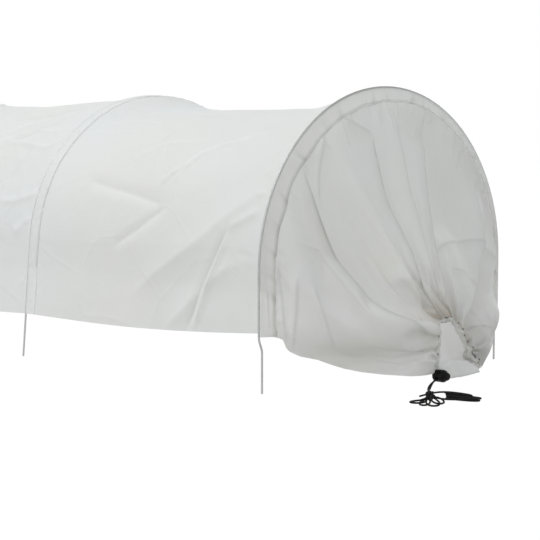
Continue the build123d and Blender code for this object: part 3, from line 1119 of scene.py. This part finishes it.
SLEEVE_STEPS = 400
SLEEVE_RING = 2.0 * MM
RING_STEPS = 6
SLEEVE_BELOW = [(2.6, -1.9), (6, -1.6), (12, -1.1), (18, -0.6), (24, -0.2)]
SLEEVE_ABOVE = [(24, 0.2), (18, 0.7), (12, 1.3), (6, 1.8), (2.6, 2)]
HEADING_SHARE = 0.001
# Painted shade along an end sleeve's seam.
SEAM_SHADE = [
    (0, 0.02), (0.06, 0.1), (0.24, 0.1), (0.34, 0.02), (0.6, 0), (0.8, 0), (0.94, 0.04), (1, 0.02),
]
SEAM_CLEAR = 0.6
END_SEAM_CLEAR = [(0, 0.2), (0.24, 0.3), (0.36, 0.9), (0.68, 0.9), (0.78, 0.5), (1, 0.4)]
TUCK_FLOOR = 0.35
END_TUCK_FLOOR = 0.12
# Painted shade over an end sleeve's wrap on the wire, which also lets less of the wire show.
WRAP_SHADE = [(0, 0), (0.3, 0.15), (0.4, 0.9), (0.9, 0.9), (1, 0.3)]
# Browner towards an end sleeve's left hem.
SLEEVE_WARM_TINT = [(0, 0.16), (0.3, 0.1), (0.45, 0), (1, 0)]
SLEEVE_PUCKER = 0.8 * MM
END_SLEEVE_PUCKER = 1.2 * MM
SEAM_WANDER = 2 * MM
END_SEAM_WANDER = 4 * MM
SEAM_START_SHARE = 0.02
SLEEVE_PLEATS = [
    (route[0][0], dark) for _, _, dark, route in GATHER_CREASES if route[0][1] < SEAM_START_SHARE
]
SLEEVE_PLEAT_SHARE = 0.006
PUCKERS = 110
PUCKER_LEAN = 40
PUCKER_SEED = 3.1
WANDERS = 24
WANDER_SEED = 5.3
WANDER_PLANE = 0.5
TUCKS = 88
TUCK_LEAN = 60
TUCK_SEED = 1.7
TUCK_PLANE = 4.4
PLAIN_LOOK = {"seam_clear": SEAM_CLEAR, "seam_shade": 0, "wrap_shade": 0, "warm_tint": 0, "pleat": 0}


def sleeve_outline():
    """Section of the sleeve: distance to the seam side and out from the wire, as a closed ring."""
    ring = []
    for step in range(RING_STEPS + 1):
        angle = math.pi / 2 + math.pi * step / RING_STEPS
        ring.append((SLEEVE_RING * math.cos(angle), SLEEVE_RING * math.sin(angle)))
    ring += [(reach * MM, out * MM) for reach, out in SLEEVE_BELOW + SLEEVE_ABOVE]
    return ring


def ring_faces(steps, sides):
    """Faces of a tube of rings, one ring after another."""
    faces = []
    for step in range(steps):
        for side in range(sides):
            following = (side + 1) % sides
            start, after = step * sides, (step + 1) * sides
            faces.append((start + side, start + following, after + following, after + side))
    return faces


def face_outward(piece):
    pick(piece)
    bpy.ops.object.mode_set(mode="EDIT")
    bpy.ops.mesh.select_all(action="SELECT")
    bpy.ops.mesh.normals_make_consistent(inside=False)
    bpy.ops.object.mode_set(mode="OBJECT")


def sleeve_directions(share, hem, splay, hand, lean):
    """Directions to the seam and out of the sleeve, at a share of its hoop's girth."""
    near_y, near_z = arch_point(min(share + HEADING_SHARE, 1), hem, splay)
    far_y, far_z = arch_point(max(share - HEADING_SHARE, 0), hem, splay)
    heading = Vector((0, near_y - far_y, near_z - far_z)).normalized()
    outward = Vector((0, -heading.z, heading.y))
    ahead = Vector((hand, 0, 0))
    to_seam = ahead * math.cos(lean) - outward * math.sin(lean)
    upward = outward * math.cos(lean) + ahead * math.sin(lean)
    return to_seam, upward


def end_look(from_left):
    """Look of an end sleeve at a share of its girth: clear seam, painted shade at the seam and over the
    wire, browner tint, and the painted shade of the end film's pleats that run on over it.
    """
    pleats = [dark * max(0, 1 - abs(from_left - at) / SLEEVE_PLEAT_SHARE) for at, dark in SLEEVE_PLEATS]
    return {
        "seam_clear": blended(END_SEAM_CLEAR, from_left),
        "seam_shade": blended(SEAM_SHADE, from_left),
        "wrap_shade": blended(WRAP_SHADE, from_left),
        "warm_tint": blended(SLEEVE_WARM_TINT, from_left),
        "pleat": max(pleats),
    }


def make_sleeve(number):
    """Strip of film sewn round a hoop, with its seam puckered and its wrap on the wire clear, and painted
    shade along its tucks, its seam and, on end sleeves, over its wrap.
    """
    x = HOOP_X[number - 1]
    at_end = number in (1, HOOP_COUNT)
    hem = END_HEM_HEIGHT if at_end else HEM_HEIGHTS[number - 1]
    splay = LEG_SPLAYS[number - 1]
    hand = 1 if number <= MIDDLE_HOOP else -1
    lean = END_SLEEVE_LEAN if at_end else 0
    pucker = END_SLEEVE_PUCKER if at_end else SLEEVE_PUCKER
    seam_wander = END_SEAM_WANDER if at_end else SEAM_WANDER
    tuck_floor = END_TUCK_FLOOR if at_end else TUCK_FLOOR
    outline = sleeve_outline()
    points = []
    clear = []
    fold = []
    tint = []
    for step in range(SLEEVE_STEPS + 1):
        share = step / SLEEVE_STEPS
        y, z = arch_point(share, hem, splay)
        to_seam, upward = sleeve_directions(share, hem, splay, hand, lean)
        look = end_look(share if number == 1 else 1 - share) if at_end else PLAIN_LOOK
        for reach, out in outline:
            sewn_share = max(reach, 0) / SLEEVE_WIDTH
            ripple = noise.noise((share * PUCKERS, number * PUCKER_SEED, reach * PUCKER_LEAN))
            wander = noise.noise((share * WANDERS, number * WANDER_SEED, WANDER_PLANE))
            sideways = reach + wander * seam_wander * sewn_share
            lift = out + ripple * pucker * sewn_share
            points.append(Vector((x, y, z)) + to_seam * sideways + upward * lift)
            # Painted shade along tucks and the end film's pleats, growing towards the seam.
            tuck = noise.noise((share * TUCKS + reach * TUCK_LEAN, number * TUCK_SEED, TUCK_PLANE))
            shade = max(look["pleat"], tuck - tuck_floor) * sewn_share
            # Over the wire the wrap's painted shade takes its place; at the seam the seam's painted shade
            # is added.
            if reach < SLEEVE_RING:
                clear.append(1 - look["wrap_shade"])
                shade = look["wrap_shade"]
            elif sewn_share == 1:
                clear.append(look["seam_clear"])
                shade += look["seam_shade"]
            else:
                clear.append(1.0 if out < 0 else 0.0)
            fold.append(shade)
            tint.append(look["warm_tint"])
    sleeve = smooth(plain_mesh(f"sleeve_film_{number}", points, ring_faces(SLEEVE_STEPS, len(outline))))
    note(sleeve, "clear", clear)
    note(sleeve, "fold", fold)
    note(sleeve, "tint", tint)
    face_outward(sleeve)
    finish_piece(sleeve, end_sleeve_film if at_end else sleeve_film, "film", f"sleeve_{number}")


for number in range(1, HOOP_COUNT + 1):
    make_sleeve(number)


# Drawstring casing round the mouth, with the slack film at its foot

CASING_STEPS = 200
CASING_SIDES = 10
CASING_RADIUS = 2.6 * MM
CASING_DROP = 2 * MM
RUFFLES = 90
RUFFLE_SHARE = 0.7
MOUTH_STEP_SHARE = 0.01
FLAP_COLUMNS = 44
FLAP_ROWS = 40
FLAP_SECTION = [
    (0, 5 * MM, -4 * MM),
    (0.3, -1 * MM, 10 * MM),
    (0.42, -6 * MM, 14 * MM),
    (0.52, -14 * MM, 10 * MM),
    (0.7, -40 * MM, 16 * MM),
    (1, -78 * MM, 70 * MM),
]
FLAP_WIDTH_SHARE = 0.98
FLAP_BAND_SHARE = 0.52
CREST_LOW_SHARE = 0.45
CREST_RISE_SHARE = 0.8
CREST_START_SHARE = 0.15
CREST_SPAN_SHARE = 0.8
CREST_POWER = 0.8
POCKET_START_SHARE = 0.45
POCKET_SPREAD_SHARE = 0.6
FLAP_SIDEWAYS = 68 * MM
FLAP_WAVES = (6, 2)
FLAP_SEED = 8.1
FLAP_WAVE_RISE = 2 * MM
FLAP_WAVE_DEPTH = 2.5 * MM
# Down the flap: darker at its foot edge and over the band, painted shade behind its crest, then a painted
# highlight along the crest and painted light deep in the pocket.
FLAP_DARKENING = [(0, 0.5), (0.06, 0.2), (0.3, 0.14), (0.4, 0), (0.45, 0.55), (0.55, 0.3), (0.75, 0), (1, 0)]
FLAP_PAINTED_HIGHLIGHT = [(0, 0), (0.3, 0), (0.39, 0.9), (0.44, 0), (0.6, 0), (1, 0.6)]


def mouth_directions(share):
    """Directions along the mouth's edge and out from it."""
    ahead = mouth_point(min(share + MOUTH_STEP_SHARE, 1)) - mouth_point(max(share - MOUTH_STEP_SHARE, 0))
    heading = Vector((0, ahead.y, ahead.z)).normalized()
    return heading, Vector((0, -heading.z, heading.y))


def casing_points():
    """Hem drawn up on its cord in small ruffles, from the lock round to the far corner."""
    points = []
    for step in range(CASING_STEPS + 1):
        share = step / CASING_STEPS
        spot = mouth_point(share)
        _, outward = mouth_directions(share)
        for side in range(CASING_SIDES):
            angle = math.tau * side / CASING_SIDES
            ruffle = noise.noise((share * RUFFLES, math.cos(angle), math.sin(angle)))
            swell = CASING_RADIUS * (1 + RUFFLE_SHARE * ruffle)
            forward = Vector((math.cos(angle) * swell, 0, 0))
            points.append(spot + forward + outward * (math.sin(angle) * swell - CASING_DROP))
    return points


def flap_point(across, along):
    """Slack film at the foot of the mouth: a turned-up band that runs on inside as a loose pocket."""
    spot = LOCK_PLACE + MOUTH_CORNER * FLAP_WIDTH_SHARE * across
    arc = math.sin(math.pi * min(CREST_START_SHARE + across * CREST_SPAN_SHARE, 1))
    crest = CREST_LOW_SHARE + CREST_RISE_SHARE * arc ** CREST_POWER
    fold = wave(across, along, FLAP_WAVES, FLAP_SEED)
    depth = blended([(share, out) for share, out, _ in FLAP_SECTION], along)
    rise = blended([(share, up) for share, _, up in FLAP_SECTION], along)
    inside = max(0, along - POCKET_START_SHARE) / (1 - POCKET_START_SHARE)
    spot.z += rise * (crest if along < FLAP_BAND_SHARE else 1) + FLAP_WAVE_RISE * fold
    spot.x += depth + FLAP_WAVE_DEPTH * fold
    spot.y += FLAP_SIDEWAYS * inside * POCKET_SPREAD_SHARE * (1 + across)
    return spot


def make_casing():
    rim = smooth(plain_mesh("front_casing_rim", casing_points(), ring_faces(CASING_STEPS, CASING_SIDES)))
    face_outward(rim)
    flap = smooth(film_grid("front_casing_flap", flap_point, FLAP_COLUMNS, FLAP_ROWS))
    _, along = film_shares(flap)
    # Darkening, painted shade and painted highlight down the flap.
    note(flap, "fold", [blended(FLAP_DARKENING, share) for share in along])
    note(flap, "ridge", [blended(FLAP_PAINTED_HIGHLIGHT, share) for share in along])
    forget_shares(flap)
    hem = joined([rim, flap], "front_casing_hem")
    for end, piece in (("front", hem), ("back", turned_copy(hem, "back_casing_hem"))):
        finish_piece(piece, end_film, "film", f"{end}_casing")


make_casing()


# Stitches round the mouth

STITCH_LENGTH = 4.5 * MM
STITCH_LENGTH_SHARES = [0.8, 0.9, 1.0, 1.1]
STITCH_RADIUS = 0.6 * MM
STITCH_OUT = 2 * MM
STITCH_FORWARD = CASING_RADIUS * 1.15
STITCH_SHARES = [0.1, 0.22, 0.34, 0.46, 0.55, 0.64, 0.69, 0.74, 0.79, 0.84, 0.89, 0.94]
STITCH_FACETS = 8
STITCH_RINGS = 6
THREAD_SHADES = [(0.05, 0.045, 0.04, 1), (0.14, 0.13, 0.12, 1)]


def thread_material():
    """Dull dark sewing thread."""
    material, tap = new_material("dark_thread")
    colour = mixed_colour(tap, grain(tap, 1600.0), *THREAD_SHADES)
    return coat(material, tap, {"Base Color": colour, "Roughness": 0.8})


dark_thread = thread_material()


def make_stitches():
    """Dark thread that shows where the hem is sewn down round the mouth."""
    dashes = []
    for index, share in enumerate(STITCH_SHARES):
        heading, outward = mouth_directions(share)
        place = mouth_point(share) + outward * STITCH_OUT + Vector((STITCH_FORWARD, 0, 0))
        turn = heading.to_track_quat("Z", "Y").to_matrix().to_4x4()
        half = STITCH_LENGTH / 2 * STITCH_LENGTH_SHARES[index % len(STITCH_LENGTH_SHARES)]
        size = Matrix.Diagonal((STITCH_RADIUS, STITCH_RADIUS, half, 1))
        bpy.ops.mesh.primitive_uv_sphere_add(segments=STITCH_FACETS, ring_count=STITCH_RINGS, radius=1)
        dash = bpy.context.object
        dash.data.transform(Matrix.Translation(place) @ turn @ size)
        dashes.append(dash)
    thread = joined(dashes, "front_mouth_thread")
    for piece in (thread, turned_copy(thread, "back_mouth_thread")):
        finish_piece(piece, dark_thread, "cord")


make_stitches()


# Wire and cord locks

ZINC_SHADES = [(0.38, 0.39, 0.39, 1), (0.54, 0.55, 0.55, 1)]
PLASTIC_BLACK = (0.006, 0.006, 0.006, 1)


def wire_material():
    """Galvanised wire: dull bright zinc with faint blotches."""
    material, tap = new_material("galvanised_wire")
    blotch = grain(tap, 220.0, 4.0)
    colour = mixed_colour(tap, blotch, *ZINC_SHADES)
    return coat(material, tap, {"Base Color": colour, "Metallic": 0.75, "Roughness": 0.32 + 0.2 * blotch})


def lock_material():
    """Black moulded plastic with a fine spark-eroded grain."""
    material, tap = new_material("black_moulded_plastic")
    sparks = grain(tap, 1400.0)
    return coat(material, tap, {
        "Base Color": PLASTIC_BLACK,
        "Roughness": 0.36 + 0.15 * sparks,
        "Specular IOR Level": 0.1,
        "Normal": bumped(tap, sparks, 0.25, 0.2 * MM),
    })


def set_material(node, material):
    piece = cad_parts[node]
    for slot in piece.material_slots:
        slot.material = material


def dress_nodes():
    """Better materials for the CAD pieces that stay."""
    wire = wire_material()
    plastic = lock_material()
    for number in range(1, HOOP_COUNT + 1):
        set_material(f"hoop_{number}", wire)
    for end in ("front", "back"):
        set_material(f"{end}_lock_barrel", plastic)
        set_material(f"{end}_lock_button", plastic)


dress_nodes()


# Floor and light

WORLD_STRENGTH = 0.61
SKY_COLOUR = (0.935, 0.985, 1.0, 1)
WHITE = (1, 1, 1, 1)
FLOOR_SIZE = 40
FLOOR_COLOUR = (0.44, 0.42, 0.38, 1)
FLOOR_GLOW = 1.1
FLOOR_WHITE_SHARE = 0.9
LAMPS = {
    "key": {"place": (0.2, -1.7, 2.6), "target": (1.0, 0, 0.2), "size": 1.2, "power": 38},
    "side": {"place": (2.0, -2.2, 0.9), "target": (1.6, 0, 0.2), "size": 0.7, "power": 7},
}


def seen_directly(tap):
    """1 for rays that see the backdrop itself, straight or by a mirror or through glass."""
    camera = tap.node("ShaderNodeLightPath", output="Is Camera Ray")
    glossy = tap.node("ShaderNodeLightPath", output="Is Glossy Ray")
    passed = tap.node("ShaderNodeLightPath", output="Is Transmission Ray")
    settings = {"operation": "ADD", "use_clamp": True}
    return tap.node("ShaderNodeMath", settings=settings, inputs={0: camera + glossy, 1: passed})


def make_floor():
    bpy.ops.mesh.primitive_plane_add(size=FLOOR_SIZE, location=(0, 0, 0))
    floor = bpy.context.object
    floor.name = "floor"
    material, tap = new_material("pale_floor")
    matte = tap.node("ShaderNodeBsdfDiffuse", inputs={"Color": FLOOR_COLOUR})
    white = tap.node("ShaderNodeEmission", inputs={"Color": WHITE, "Strength": FLOOR_GLOW})
    share = seen_directly(tap) * FLOOR_WHITE_SHARE
    mix = tap.node("ShaderNodeMixShader", inputs={0: share, 1: matte, 2: white})
    floor.data.materials.append(show(material, mix))


def make_world():
    world = bpy.data.worlds.new("studio")
    bpy.context.scene.world = world
    world.use_nodes = True
    tree = world.node_tree
    tap = Tap(tree)
    direct = seen_directly(tap)
    background = next(node for node in tree.nodes if node.type == "BACKGROUND")
    sky = mixed_colour(tap, direct, SKY_COLOUR, WHITE)
    tree.links.new(sky.socket, background.inputs["Color"])
    strength = WORLD_STRENGTH + (1 - WORLD_STRENGTH) * direct
    tree.links.new(strength.socket, background.inputs["Strength"])


def area_light(name, place, target, size, power):
    bpy.ops.object.light_add(type="AREA", location=place)
    lamp = bpy.context.object
    lamp.name = name
    lamp.data.size = size
    lamp.data.energy = power
    lamp.rotation_euler = (Vector(target) - Vector(place)).to_track_quat("-Z", "Y").to_euler()


make_floor()
make_world()
for name, lamp in LAMPS.items():
    area_light(name, **lamp)

bpy.context.scene.view_settings.view_transform = "Standard"
